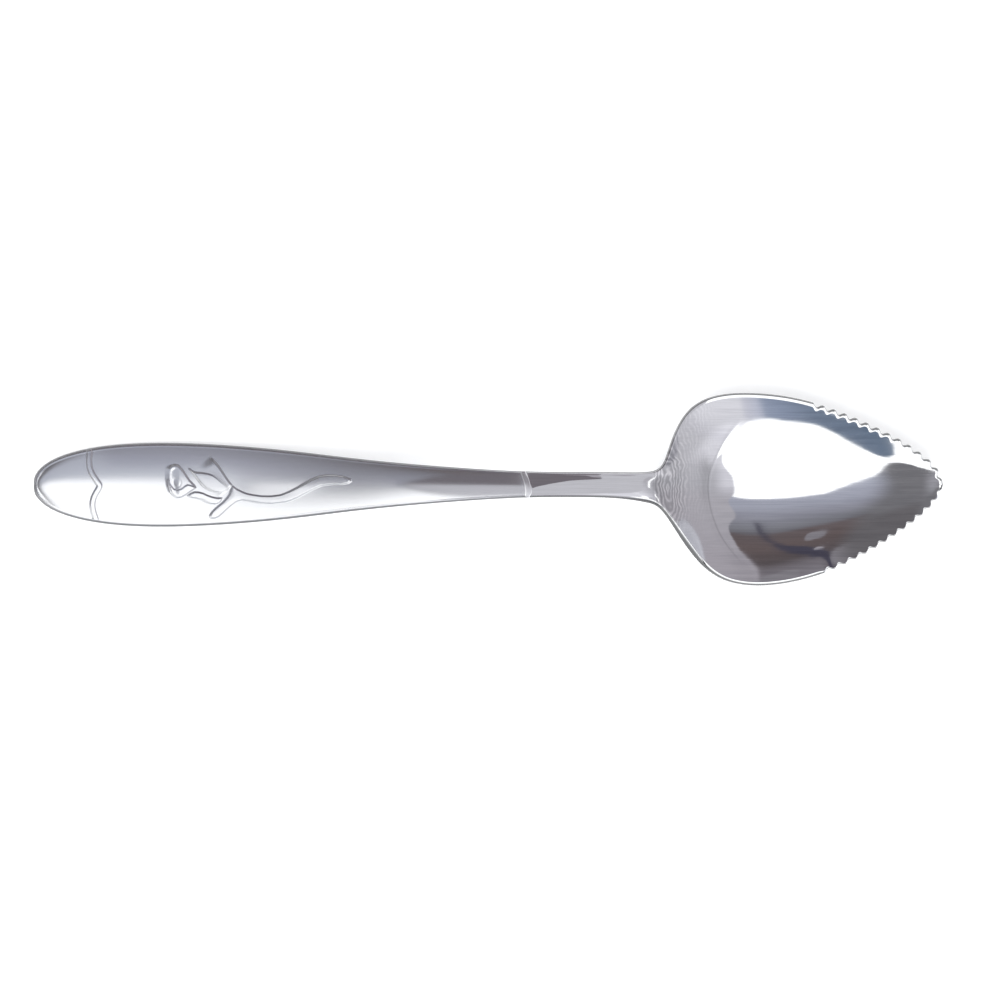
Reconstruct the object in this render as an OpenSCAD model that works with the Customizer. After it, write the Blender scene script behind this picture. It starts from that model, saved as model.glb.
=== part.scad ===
// Grapefruit spoon, stamped from one blank of stainless steel and drawn as the zones that are finished apart.
// It lies face up on z = 0 with its length along X: the rounded handle end at -X, the pointed bowl at +X.
// The middle of its length is at x = 0, and the stem of the ornament runs along the handle's middle line.
// The blank is a loft through ribs. A rib is a cross section with a point on the middle line, a point on each
// edge, the height of its top edge, and how far its middle stands above or below its edges.

/* [Lengths] */
// Length of the satin handle, from its rounded end to the collar
handle_length = 87.3; // [75:0.1:100]
// Length of the polished neck, from the collar to the heel of the bowl
neck_length = 20.7; // [14:0.1:30]
// Length of the bowl, from its heel to its tip
bowl_length = 52; // [42:0.1:60]

/* [Widths] */
// Width of the handle at its widest
handle_width = 14.6; // [12:0.1:18]
// Width of the neck at its slimmest
neck_width = 4.4; // [3.6:0.1:6]
// Width of the bowl at its widest
bowl_width = 33.7; // [28:0.1:38]

/* [Heights] */
// Depth of the bowl, from its rim down to its floor
bowl_depth = 6.9; // [5:0.1:9]
// Height of the collar's underside above the table, where the spoon arches highest
arch_height = 11.6; // [8:0.1:15]
// Height of the bowl's heel above its rim
heel_rise = 1.2; // [0:0.1:3]
// Height of the bowl's tip above its rim
tip_rise = 0.75; // [0:0.05:2]
// Depth that is ground off under the handle's end, so that it rests flat
rest_depth = 0.06; // [0.02:0.01:0.2]

/* [Sheet] */
// Thickness of the handle at its edges
handle_edge = 1.3; // [1:0.05:2]
// Rise of the handle's middle above its edges
handle_crown = 0.9; // [0.4:0.05:1.5]
// Thickness of the neck at its edges
neck_edge = 1.5; // [1.2:0.05:2.2]
// Rise of the neck's middle above its edges, and the swell under it
neck_crown = 0.5; // [0.2:0.05:0.8]
// Thickness of the bowl at its rim
rim_edge = 1.1; // [0.8:0.05:1.5]
// Thickness of the bowl at its floor
floor_thickness = 1.2; // [0.9:0.05:1.6]
// Width of the rounding along the handle's edges
edge_round = 0.45; // [0.2:0.05:0.6]
// Width of the bowl's cut edge as seen from above
rim_land = 0.55; // [0.3:0.05:0.8]

/* [Teeth] */
// Number of teeth along each side of the tip
teeth_per_side = 13; // [6:1:14]
// Distance from one tooth to the next
tooth_pitch = 2.05; // [1.6:0.05:2.1]
// Depth of the notches between the teeth
tooth_depth = 0.55; // [0.3:0.05:0.7]
// Plain edge from the middle of the tip to the first notch
tip_land = 0.7; // [0.6:0.1:2]

/* [Ornament] */
// Height that the stamped ornament stands above the handle
relief_height = 0.25; // [0.1:0.05:0.4]
// Width of the flower stem
stem_width = 1.3; // [0.8:0.1:1.8]
// Width of the bead across the handle's end
bead_width = 0.9; // [0.6:0.1:1.4]
// Width of the collar across the neck
collar_width = 1.1; // [0.8:0.1:1.6]
// Height of the collar above the neck
collar_height = 0.3; // [0.1:0.05:0.5]

/* [Hidden] */

overall_length = handle_length + neck_length + bowl_length;
end_x = -overall_length / 2;
collar_x = end_x + handle_length;
heel_x = collar_x + neck_length;
rim_height = bowl_depth + floor_thickness;
heel_lift = rim_height + heel_rise - neck_edge;
steel_sink = floor_thickness - rim_edge;
satin = "#b9bcc2";
polished = "#cfd2d7";

// Handle ribs: place from the end, half width, height of the underside, rise of the middle
handle_rib_shares = [
    [0, 0, 0, 0], [0, 0.25, 0, 0.5], [0.027, 0.57, 0, 0.85], [0.08, 0.82, 0, 0.95], [0.16, 0.99, 0, 1],
    [0.27, 1.035, 0.03, 1], [0.39, 0.97, 0.12, 1], [0.515, 0.84, 0.28, 0.95], [0.64, 0.645, 0.49, 0.9],
    [0.767, 0.487, 0.73, 0.8], [0.915, 0.355, 0.95, 0.68]
];
// Neck ribs: place from the collar, half width left and right, height from heel to collar, swell below
neck_rib_shares = [
    [0, 1.02, 1.02, 1, 1], [0.36, 1, 1, 0.88, 1], [0.76, 1, 1.04, 0.35, 1.2], [1, 0.95, 1.4, 0, 1.8]
];
// Bowl ribs: middle line, left edge along and across, right edge along and across
bowl_rib_shares = [
    [0.062, 0.058, 0.154, 0.042, 0.214], [0.131, 0.081, 0.45, 0.088, 0.41],
    [0.208, 0.137, 0.807, 0.152, 0.724], [0.296, 0.238, 0.95, 0.242, 1.01],
    [0.408, 0.377, 0.961, 0.392, 1.08], [0.558, 0.538, 0.896, 0.581, 0.967],
    [0.712, 0.715, 0.694, 0.75, 0.718], [0.858, 0.881, 0.445, 0.896, 0.421],
    [0.955, 0.992, 0.178, 0.988, 0.16], [1, 1, 0, 1, 0]
];
// The same ribs: rise to the heel, rise to the tip, depth inside, depth outside, edge from neck's to rim's
bowl_depth_shares = [
    [0.5, 0, 0.08, 0.28, 0.25], [0.2, 0, 0.41, 0.56, 0.7], [0.04, 0, 0.8, 0.86, 1],
    [0, 0, 1, 1, 1], [0, 0, 1, 1, 1], [0, 0, 1, 1, 1],
    [0, 0.2, 0.77, 0.77, 1], [0, 0.55, 0.47, 0.48, 1], [0, 0.88, 0.18, 0.2, 1],
    [0, 1, 0, 0, 1]
];

// Each row of the ribs: middle x, left x, left y, right x, right y, top edge z, edge thickness, crown, hollow
handle_ribs = [
    for (s = handle_rib_shares)
        let (x = end_x + s[0] * handle_length, y = s[1] * handle_width / 2)
            [x, x, y, x, y, s[2] * (arch_height + rest_depth) - rest_depth + handle_edge, handle_edge,
             s[3] * handle_crown, 0]
];
neck_ribs = [
    for (s = neck_rib_shares)
        let (x = collar_x + s[0] * neck_length)
            [x, x, s[1] * neck_width / 2, x, s[2] * neck_width / 2,
             heel_lift + s[3] * (arch_height - heel_lift) + neck_edge, neck_edge, neck_crown,
             -s[4] * neck_crown]
];
bowl_ribs = [
    for (i = [0:len(bowl_rib_shares) - 1])
        let (s = bowl_rib_shares[i], d = bowl_depth_shares[i])
            [heel_x + s[0] * bowl_length, heel_x + s[1] * bowl_length, s[2] * bowl_width / 2,
             heel_x + s[3] * bowl_length, s[4] * bowl_width / 2,
             rim_height + d[0] * heel_rise + d[1] * tip_rise, neck_edge + d[4] * (rim_edge - neck_edge),
             -d[2] * bowl_depth, -d[3] * (bowl_depth + steel_sink)]
];
ribs = concat(handle_ribs, neck_ribs, bowl_ribs);
last_rib = len(ribs) - 1;
collar_rib = len(handle_ribs);
heel_rib = collar_rib + len(neck_ribs) - 1;

// A smooth curve along a list of rows: a uniform cubic spline from the first row to the last
function extended(rows) =
    let (n = len(rows)) concat([2 * rows[0] - rows[1]], rows, [2 * rows[n - 1] - rows[n - 2]]);
function weights(f) =
    let (f2 = f * f, f3 = f2 * f)
        [1 - 3 * f + 3 * f2 - f3, 3 * f3 - 6 * f2 + 4, -3 * f3 + 3 * f2 + 3 * f + 1, f3] / 6;
function slopes(f) = [-pow(1 - f, 2), 3 * f * f - 4 * f, -3 * f * f + 2 * f + 1, f * f] / 2;
function span(rows, u) = min(floor(u), len(rows) - 4);
function blend(rows, i, w) = w * [rows[i], rows[i + 1], rows[i + 2], rows[i + 3]];
function point_at(rows, u) = let (i = span(rows, u)) blend(rows, i, weights(u - i));
function slope_at(rows, u) = let (i = span(rows, u)) blend(rows, i, slopes(u - i));
function ramp(a, b, u) = let (t = min(max((u - a) / (b - a), 0), 1)) t * t * (3 - 2 * t);
function unit(v) = v / norm(v);

blank = extended(ribs);

// Length along the rim back from the tip, the mean of both sides, for each step of the spline
rim_steps = 12;
rim_places = [for (k = [(last_rib - heel_rib) * rim_steps:-1:0]) heel_rib + k / rim_steps];
rim_points = [for (u = rim_places) let (r = point_at(blank, u)) [r[1], r[2], r[3], r[4]]];
function step_length(a, b) = (norm([b[0] - a[0], b[1] - a[1]]) + norm([b[2] - a[2], b[3] - a[3]])) / 2;
rim_lengths = [
    for (k = 0, s = 0; k < len(rim_places); k = k + 1,
         s = s + (k < len(rim_places) ? step_length(rim_points[k - 1], rim_points[k]) : 0)) s
];
rim_table = [for (k = [0:len(rim_places) - 1]) [rim_lengths[k], rim_places[k]]];
place_table = [for (k = [len(rim_places) - 1:-1:0]) [rim_places[k], rim_lengths[k]]];
teeth_length = teeth_per_side * tooth_pitch;
function tooth_cut(u) =
    u < heel_rib ? 0
    : let (s = lookup(u, place_table) - tip_land)
        s < 0 || s > teeth_length ? 0 : tooth_depth * (1 - cos(360 * s / tooth_pitch)) / 2;

// Cross section at place u: across the top from left to right, round the right edge and back underneath
top_steps = 12;
under_steps = 8;
tooth_reach = 6;
// Place of the edge's outermost line below its top, as a share of the edge, on the handle and on the bowl
handle_drop_share = 0.5;
rim_drop_share = 0.75;
// Rounding under the edge as a share of the rounding on top
handle_under_share = 0.6;
rim_under_share = 0.2;

function section(u) =
    let (r = point_at(blank, u), d = slope_at(blank, u), cut = tooth_cut(u),
         in_bowl = ramp(heel_rib, heel_rib + 3, u),
         round_top = edge_round + in_bowl * (rim_land - edge_round),
         under_share = handle_under_share + in_bowl * (rim_under_share - handle_under_share),
         drop_share = handle_drop_share + in_bowl * (rim_drop_share - handle_drop_share),
         left = [r[1], r[2]], right = [r[3], -r[4]],
         in_left = unit([d[2], -d[1]]), in_right = unit([d[4], d[3]]),
         near_end = 1 - ramp(0, 2, u), near_tip = ramp(last_rib - 2, last_rib, u),
         middle = [r[0] + round_top * (near_end - near_tip), 0],
         left_top = left + in_left * round_top, right_top = right + in_right * round_top,
         left_under = left + in_left * round_top * under_share,
         right_under = right + in_right * round_top * under_share,
         left_cut = cut / norm(left_top - middle), right_cut = cut / norm(right_top - middle))
    concat(
        [for (k = [0:top_steps])
            let (v = 1 - 2 * k / top_steps, w = abs(v), side = v >= 0 ? left_top : right_top,
                 inward = v >= 0 ? in_left : in_right, share = v >= 0 ? left_cut : right_cut,
                 reach = pow(w, tooth_reach), x = middle[0] + (side[0] - middle[0]) * w * w, y = side[1] * w,
                 bent = w - share * reach)
                [x + inward[0] * cut * reach, y + inward[1] * cut * reach, r[5] + r[7] * (1 - bent * bent)]],
        [edge_point(right, in_right, cut, right_cut, r, drop_share)],
        [for (k = [0:under_steps])
            let (v = -1 + 2 * k / under_steps, w = abs(v), side = v > 0 ? left_under : right_under,
                 inward = v > 0 ? in_left : in_right, share = v > 0 ? left_cut : right_cut,
                 reach = pow(w, tooth_reach), x = middle[0] + (side[0] - middle[0]) * w * w, y = side[1] * w,
                 bent = w - share * reach)
                [x + inward[0] * cut * reach, y + inward[1] * cut * reach,
                 r[5] - r[6] + r[8] * (1 - bent * bent)]],
        [edge_point(left, in_left, cut, left_cut, r, drop_share)]
    );
function edge_point(edge, inward, cut, share, r, drop_share) =
    let (p = edge + inward * cut, sink = 1 - pow(1 - share, 2))
        [p[0], p[1], r[5] - r[6] * drop_share + (r[7] * (1 - drop_share) + r[8] * drop_share) * sink];
function section_middle(u) = let (r = point_at(blank, u)) [r[0], 0, r[5] - r[6] / 2 + (r[7] + r[8]) / 2];

// A closed solid lofted through the sections at the given places, with a point at the middle of each end
module loft(places, first, last) {
    rings = [for (u = places) section(u)];
    n = len(rings[0]);
    m = len(rings);
    sides = [
        for (i = [0:m - 2], k = [0:n - 1])
            let (a = i * n + k, b = i * n + (k + 1) % n)
                each [[a, a + n, b], [b, a + n, b + n]]
    ];
    starts = [for (k = [0:n - 1]) [m * n, k, (k + 1) % n]];
    ends = [for (k = [0:n - 1]) [m * n + 1, (m - 1) * n + (k + 1) % n, (m - 1) * n + k]];
    points = [for (r = rings) each r, section_middle(first), section_middle(last)];
    polyhedron(points, concat(sides, starts, ends));
}

// Places of the sections: a few to each rib, and six to each tooth
steps_per_rib = 3;
steps_per_tooth = 6;
end_places = [0.12, 0.35, 0.65];
teeth_start = lookup(tip_land + teeth_length, rim_table);
plain_steps = ceil((teeth_start - heel_rib) * (steps_per_rib + 1));
handle_places = concat(end_places, [for (k = [steps_per_rib:collar_rib * steps_per_rib]) k / steps_per_rib]);
neck_places = [for (k = [0:(heel_rib - collar_rib) * steps_per_rib]) collar_rib + k / steps_per_rib];
bowl_places = concat(
    [for (k = [0:plain_steps - 1]) heel_rib + (teeth_start - heel_rib) * k / plain_steps],
    [
        for (k = [teeth_per_side * steps_per_tooth:-1:0])
            lookup(tip_land + k * tooth_pitch / steps_per_tooth, rim_table)
    ],
    [last_rib - end_places[0]]
);

// The bowl is trimmed a little wider on its right, so the whole is moved to stand in the middle of its box
side_shift = (max([for (p = rim_points) p[3]]) - max([for (p = rim_points) p[1]])) / 2;
module centred() {
    translate([0, side_shift, 0]) children();
}

// Height of the spoon's face over a place on the handle or the neck
face_table = [
    for (k = [0:(heel_rib - 1) * rim_steps])
        [point_at(blank, k / rim_steps)[0], k / rim_steps]
];
function face_height(x, y) =
    let (r = point_at(blank, lookup(x, face_table)), v = min(abs(y) / (r[2] - edge_round), 1))
        r[5] + r[7] * (1 - v * v);

// A raised band on the face along a smooth line. Each row is a place on the face and the band's half width.
band_top_share = 0.5;
module band(rows, height, steps) {
    line = extended(rows);
    count = (len(rows) - 1) * steps;
    rings = [
        for (k = [0:count])
            let (p = point_at(line, k / steps), t = slope_at(line, k / steps), s = unit([-t[1], t[0]]) * p[2])
                [for (q = [[1, 0], [band_top_share, height], [-band_top_share, height], [-1, 0], [0, 0]])
                    let (x = p[0] + s[0] * q[0], y = p[1] + s[1] * q[0]) [x, y, face_height(x, y) + q[1]]]
    ];
    n = len(rings[0]);
    sides = [
        for (i = [0:count - 1], k = [0:n - 1])
            let (a = i * n + k, b = i * n + (k + 1) % n)
                each [[a, a + n, b], [b, a + n, b + n]]
    ];
    starts = [for (k = [1:n - 2]) [0, k, k + 1]];
    ends = [for (k = [1:n - 2]) [count * n, count * n + k + 1, count * n + k]];
    polyhedron([for (r = rings) each r], concat(sides, starts, ends));
}
function on_handle(shares, half_width) =
    [for (s = shares) [end_x + s[0] * handle_length, s[1] * handle_width, s[2] * half_width]];

// Rows of the ornament's bands: place along and across the handle, and share of the half width
bead_shares = [
    [0.115, 0.41, 1], [0.113, 0.3, 1], [0.117, 0.14, 1], [0.134, 0, 1], [0.136, -0.03, 1], [0.123, -0.15, 1],
    [0.12, -0.28, 1], [0.127, -0.42, 1]
];
blade_shares = [
    [0.365, 0.34, 0.15], [0.38, 0.25, 0.5], [0.4, 0.1, 0.9], [0.425, -0.06, 1], [0.46, -0.155, 1],
    [0.5, -0.185, 1], [0.54, -0.165, 1], [0.575, -0.08, 1], [0.61, 0.02, 1], [0.64, 0.055, 1],
    [0.672, 0.05, 0.8]
];
branch_shares = [
    [0.423, -0.17, 0.5], [0.405, -0.25, 0.8], [0.385, -0.36, 0.9], [0.367, -0.4, 0.3]
];
closed_leaf_shares = [
    [0.326, 0.175, 0.1], [0.345, 0.13, 1.2], [0.365, 0.06, 1.9], [0.385, 0, 1.4], [0.397, -0.06, 0.2]
];
wavy_leaf_shares = [
    [0.322, -0.15, 0.2], [0.34, -0.13, 0.8], [0.36, -0.155, 1], [0.378, -0.19, 0.9], [0.398, -0.19, 0.2]
];
bud_shares = [
    [0.277, 0.06, 0.3], [0.282, 0.06, 1.5], [0.292, 0.05, 2.2], [0.308, 0.01, 1.9], [0.325, -0.03, 0.2]
];
bud_steps = 5;
band_steps = 3;
collar_shares = [[-0.32, 0.44], [-0.05, 0.2], [0.2, -0.1], [0.3, -0.22], [-0.05, -0.46]];

module handle() {
    // The flat under the handle's end is ground to z = 0
    color(satin)
        centred()
            difference() {
                loft(handle_places, 0, collar_rib);
                translate([end_x - handle_edge, -handle_width, -handle_width])
                    cube([handle_length, 2 * handle_width, handle_width]);
            }
}

module end_bead() {
    color(polished) centred() band(on_handle(bead_shares, bead_width / 2), relief_height, band_steps);
}

module rosebud() {
    color(polished) centred() band(on_handle(bud_shares, stem_width), relief_height, bud_steps);
}

module leaves() {
    color(polished) centred() {
        band(on_handle(closed_leaf_shares, stem_width / 2), relief_height, band_steps);
        band(on_handle(wavy_leaf_shares, stem_width / 2), relief_height, band_steps);
        band(on_handle(branch_shares, stem_width / 2), relief_height, band_steps);
    }
}

module stem() {
    color(polished) centred() band(on_handle(blade_shares, stem_width / 2), relief_height, band_steps);
}

module neck_collar() {
    rows = [for (s = collar_shares) [collar_x + s[0] * collar_width, s[1] * neck_width, collar_width / 2]];
    color(polished) centred() band(rows, collar_height, band_steps);
}

module neck() {
    color(polished) centred() loft(neck_places, collar_rib, heel_rib);
}

module bowl() {
    color(polished) centred() loft(bowl_places, heel_rib, last_rib);
}

handle();
end_bead();
rosebud();
leaves();
stem();
neck_collar();
neck();
bowl();
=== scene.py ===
"""Looks of a stamped grapefruit spoon: satin handle with a flower, polished neck, mirror bowl with teeth."""
import math

import bpy
import numpy as np
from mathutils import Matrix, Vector


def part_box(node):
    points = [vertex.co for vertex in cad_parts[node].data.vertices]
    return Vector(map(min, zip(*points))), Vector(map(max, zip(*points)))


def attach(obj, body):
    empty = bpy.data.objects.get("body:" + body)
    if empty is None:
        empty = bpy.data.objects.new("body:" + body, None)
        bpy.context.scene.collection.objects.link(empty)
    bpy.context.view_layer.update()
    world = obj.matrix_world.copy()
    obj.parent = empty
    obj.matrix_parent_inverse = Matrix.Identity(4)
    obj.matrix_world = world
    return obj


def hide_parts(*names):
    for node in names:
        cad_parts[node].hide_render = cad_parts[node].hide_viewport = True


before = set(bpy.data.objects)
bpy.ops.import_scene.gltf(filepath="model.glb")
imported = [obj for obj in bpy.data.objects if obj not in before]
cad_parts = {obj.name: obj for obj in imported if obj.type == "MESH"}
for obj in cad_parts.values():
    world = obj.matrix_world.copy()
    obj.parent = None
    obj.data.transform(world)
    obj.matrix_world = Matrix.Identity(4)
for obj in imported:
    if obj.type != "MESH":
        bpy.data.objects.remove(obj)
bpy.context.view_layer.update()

MM = 0.001

# Lengths and widths of the blank
HANDLE_LENGTH = 87.3 * MM
NECK_LENGTH = 20.7 * MM
BOWL_LENGTH = 52 * MM
HANDLE_WIDTH = 14.6 * MM
NECK_WIDTH = 4.4 * MM
BOWL_WIDTH = 33.7 * MM
# Heights of the blank
BOWL_DEPTH = 6.9 * MM
ARCH_HEIGHT = 11.6 * MM
HEEL_RISE = 1.2 * MM
TIP_RISE = 0.75 * MM
REST_DEPTH = 0.06 * MM
# Thicknesses of the blank, and the rounding of its edges
HANDLE_EDGE = 1.3 * MM
HANDLE_CROWN = 0.9 * MM
NECK_EDGE = 1.5 * MM
NECK_CROWN = 0.5 * MM
RIM_EDGE = 1.1 * MM
FLOOR_THICKNESS = 1.2 * MM
HANDLE_ROUND = 0.75 * MM
NECK_ROUND = 0.5 * MM
RIM_LAND = 0.72 * MM
RIGHT_LAND = 0.6 * MM
SHOULDER_LAND = 0.3 * MM
TOOTH_LAND = 0.26 * MM
# Teeth of the bowl's tip
TEETH_PER_SIDE = 13
TOOTH_PITCH = 2.05 * MM
TOOTH_DEPTH = 0.5 * MM
TIP_LAND = 0.7 * MM

END_X = -(HANDLE_LENGTH + NECK_LENGTH + BOWL_LENGTH) / 2
COLLAR_X = END_X + HANDLE_LENGTH
HEEL_X = COLLAR_X + NECK_LENGTH
RIM_HEIGHT = BOWL_DEPTH + FLOOR_THICKNESS
HEEL_LIFT = RIM_HEIGHT + HEEL_RISE - NECK_EDGE
MIDDLE_Y = (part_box("handle")[0][1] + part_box("handle")[1][1]) / 2

# Handle ribs: place from the end, half width, height of the underside, rise of the middle
HANDLE_RIB_SHARES = (
    (0, 0, 0, 0), (0, 0.25, 0, 0.5), (0.027, 0.57, 0, 0.85), (0.08, 0.82, 0, 0.95), (0.16, 0.99, 0, 1),
    (0.27, 1.035, 0.03, 1), (0.39, 0.97, 0.12, 1), (0.515, 0.84, 0.28, 0.95), (0.64, 0.645, 0.49, 0.9),
    (0.767, 0.487, 0.73, 0.8), (0.915, 0.355, 0.95, 0.68),
)
# Neck ribs: place from the collar, half width left and right, height from heel to collar, swell below
NECK_RIB_SHARES = (
    (0, 1.02, 1.02, 1, 1), (0.36, 1, 1, 0.88, 1), (0.76, 1, 1.04, 0.35, 1.2), (1, 0.95, 1.4, 0, 1.8),
)
# Bowl ribs: middle line, left edge along and across, right edge along and across
BOWL_RIB_SHARES = (
    (0.062, 0.058, 0.154, 0.042, 0.214), (0.131, 0.081, 0.45, 0.088, 0.41),
    (0.208, 0.137, 0.807, 0.152, 0.724), (0.296, 0.238, 0.95, 0.242, 1.01),
    (0.408, 0.377, 0.961, 0.392, 1.08), (0.558, 0.538, 0.896, 0.581, 0.967),
    (0.712, 0.715, 0.694, 0.75, 0.718), (0.858, 0.881, 0.445, 0.896, 0.421),
    (0.955, 0.992, 0.178, 0.988, 0.16), (1, 1, 0, 1, 0),
)
# The same ribs: rise to the heel, rise to the tip, depth inside, depth outside, edge from neck's to rim's
BOWL_DEPTH_SHARES = (
    (0.5, 0, 0.08, 0.28, 0.25), (0.2, 0, 0.41, 0.56, 0.7), (0.04, 0, 0.8, 0.86, 1),
    (0, 0, 1, 1, 1), (0, 0, 1, 1, 1), (0, 0, 1, 1, 1),
    (0, 0.2, 0.77, 0.77, 1), (0, 0.55, 0.47, 0.48, 1), (0, 0.88, 0.18, 0.2, 1),
    (0, 1, 0, 0, 1),
)
# Rounding of the edge from the face to the back: how far in from the outline, and how far down
HANDLE_EDGE_SHARES = (
    (0.86, 0.01), (0.7, 0.03), (0.52, 0.075), (0.34, 0.15), (0.18, 0.25), (0.06, 0.38), (0, 0.52),
    (0.04, 0.68), (0.14, 0.82), (0.32, 0.94),
)
RIM_EDGE_SHARES = (
    (0.94, 0.002), (0.82, 0.005), (0.7, 0.009), (0.58, 0.015), (0.47, 0.03), (0.38, 0.09), (0.26, 0.3),
    (0.13, 0.58), (0, 0.86), (0.03, 0.96),
)
SHARP_EDGE_SHARES = (
    (0.97, 0.01), (0.92, 0.04), (0.86, 0.1), (0.76, 0.2), (0.62, 0.34), (0.46, 0.5), (0.28, 0.66),
    (0.12, 0.8), (0, 0.9), (0.03, 0.97),
)
# The same rounding on the back, as a share of the face's
HANDLE_UNDER_SHARE = 0.6
RIM_UNDER_SHARE = 0.2


def rib_table():
    """Rows of middle x, left x, left y, right x, right y, top edge z, edge thickness, crown, hollow."""
    rows = []
    for along, half, lift, crown in HANDLE_RIB_SHARES:
        x = END_X + along * HANDLE_LENGTH
        y = half * HANDLE_WIDTH / 2
        top = lift * (ARCH_HEIGHT + REST_DEPTH) - REST_DEPTH + HANDLE_EDGE
        rows.append((x, x, y, x, y, top, HANDLE_EDGE, crown * HANDLE_CROWN, 0))
    for along, left, right, lift, swell in NECK_RIB_SHARES:
        x = COLLAR_X + along * NECK_LENGTH
        top = HEEL_LIFT + lift * (ARCH_HEIGHT - HEEL_LIFT) + NECK_EDGE
        half = NECK_WIDTH / 2
        rows.append((x, x, left * half, x, right * half, top, NECK_EDGE, NECK_CROWN, -swell * NECK_CROWN))
    for (middle, left_x, left_y, right_x, right_y), (heel, tip, inside, outside, thin) in zip(
            BOWL_RIB_SHARES, BOWL_DEPTH_SHARES):
        rows.append((
            HEEL_X + middle * BOWL_LENGTH,
            HEEL_X + left_x * BOWL_LENGTH, left_y * BOWL_WIDTH / 2,
            HEEL_X + right_x * BOWL_LENGTH, right_y * BOWL_WIDTH / 2,
            RIM_HEIGHT + heel * HEEL_RISE + tip * TIP_RISE,
            NECK_EDGE + thin * (RIM_EDGE - NECK_EDGE),
            -inside * BOWL_DEPTH,
            -outside * (BOWL_DEPTH + FLOOR_THICKNESS - RIM_EDGE),
        ))
    return np.array(rows)


def extended(rows):
    """The rows with one more before and after, so that the curve reaches its first and last rows."""
    rows = np.array(rows, float)
    return np.vstack([2 * rows[0] - rows[1], rows, 2 * rows[-1] - rows[-2]])


def spline(rows, u):
    """Point and slope of the uniform cubic spline of extended rows, at places u of any shape."""
    u = np.asarray(u, float)
    i = np.clip(np.floor(u).astype(int), 0, len(rows) - 4)
    f = (u - i)[..., None]
    point = ((1 - f) ** 3 * rows[i] + (3 * f ** 3 - 6 * f * f + 4) * rows[i + 1]
             + (-3 * f ** 3 + 3 * f * f + 3 * f + 1) * rows[i + 2] + f ** 3 * rows[i + 3]) / 6
    slope = (-(1 - f) ** 2 * rows[i] + (3 * f * f - 4 * f) * rows[i + 1]
             + (-3 * f * f + 2 * f + 1) * rows[i + 2] + f * f * rows[i + 3]) / 2
    return point, slope


def ramp(low, high, value):
    """Smooth step of the value from zero at low to one at high."""
    t = np.clip((value - low) / (high - low), 0, 1)
    return t * t * (3 - 2 * t)


BLANK = extended(rib_table())
LAST_RIB = len(BLANK) - 3
COLLAR_RIB = len(HANDLE_RIB_SHARES)
HEEL_RIB = COLLAR_RIB + len(NECK_RIB_SHARES) - 1
# Rib just before the first tooth
TEETH_RIB = HEEL_RIB + 6
# Between these ribs the bowl takes over from the neck, and the right shoulder's thin edge comes and goes
BOWL_IN = (HEEL_RIB, HEEL_RIB + 3)
SHOULDER_IN = (HEEL_RIB - 1.2, HEEL_RIB + 0.4)
SHOULDER_OUT = (HEEL_RIB + 2.8, HEEL_RIB + 4.4)
# The same for the teeth of the right side, and for the wider land at the tip
TEETH_IN = (TEETH_RIB, TEETH_RIB + 0.3)
TEETH_OUT = (LAST_RIB - 0.5, LAST_RIB - 0.2)
TIP_IN = (LAST_RIB - 0.4, LAST_RIB)


def in_bowl_share(u):
    return ramp(*BOWL_IN, u)


def shoulder_share(u, left):
    """One below the bowl's right shoulder, zero elsewhere."""
    return np.where(left, 0, ramp(*SHOULDER_IN, u) * (1 - ramp(*SHOULDER_OUT, u)))


def right_teeth_share(u, left):
    """One along the right side's teeth, where the face runs out almost to the edge."""
    return np.where(left, 0, ramp(*TEETH_IN, u) * (1 - ramp(*TEETH_OUT, u)))


def smooth_edge_width(u, left):
    """Width of the edge's rounding in plan, as it would be without teeth."""
    width = HANDLE_ROUND + ramp(COLLAR_RIB - 4, COLLAR_RIB, u) * (NECK_ROUND - HANDLE_ROUND)
    rim = np.where(left, RIM_LAND, RIGHT_LAND + ramp(*TIP_IN, u) * (RIM_LAND - RIGHT_LAND))
    width = width + in_bowl_share(u) * (rim - width)
    return width + shoulder_share(u, left) * SHOULDER_LAND


def edge_width(u, left):
    """Width of the edge's rounding in plan."""
    width = smooth_edge_width(u, left)
    return width + right_teeth_share(u, left) * (TOOTH_LAND - width)


# How close to the edge the face runs out along the right side's teeth, as a power of the place across
RUN_OUT = 10


def surface(u, w, back=False):
    """Point on the face or the back of the blank. w runs from 1 on the left edge to -1 on the right edge."""
    r, d = spline(BLANK, u)
    left = w >= 0
    inset = smooth_edge_width(u, left)
    run_out = (edge_width(u, left) - inset) * np.abs(w) ** RUN_OUT
    x = np.where(left, r[..., 1], r[..., 3])
    y = np.where(left, r[..., 2], -r[..., 4])
    inward_x = np.where(left, d[..., 2], d[..., 4])
    inward_y = np.where(left, -d[..., 1], d[..., 3])
    length = np.hypot(inward_x, inward_y)
    end_pull = 1 - ramp(0, 2, u) - ramp(LAST_RIB - 2, LAST_RIB, u)
    middle = r[..., 0] + edge_width(u, True) * end_pull
    if back:
        under = HANDLE_UNDER_SHARE + in_bowl_share(u) * (RIM_UNDER_SHARE - HANDLE_UNDER_SHARE)
        inset, run_out = inset * under, run_out * under
    side_x = x + inward_x / length * inset
    side_y = y + inward_y / length * inset
    height = r[..., 5] + r[..., 7] * (1 - w * w)
    if back:
        height = r[..., 5] - r[..., 6] + r[..., 8] * (1 - w * w)
    across_x = middle + (side_x - middle) * w * w + inward_x / length * run_out
    across_y = side_y * np.abs(w) + inward_y / length * run_out
    return np.stack([across_x, across_y, height], -1)


def outward(u, side):
    """Unit vector in plan, out of the left (1) or right (-1) edge."""
    d = spline(BLANK, u)[1]
    across = (d[..., 2], -d[..., 1]) if side > 0 else (d[..., 4], d[..., 3])
    length = np.hypot(*across)
    return -np.stack([across[0] / length, across[1] / length], -1)


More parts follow.
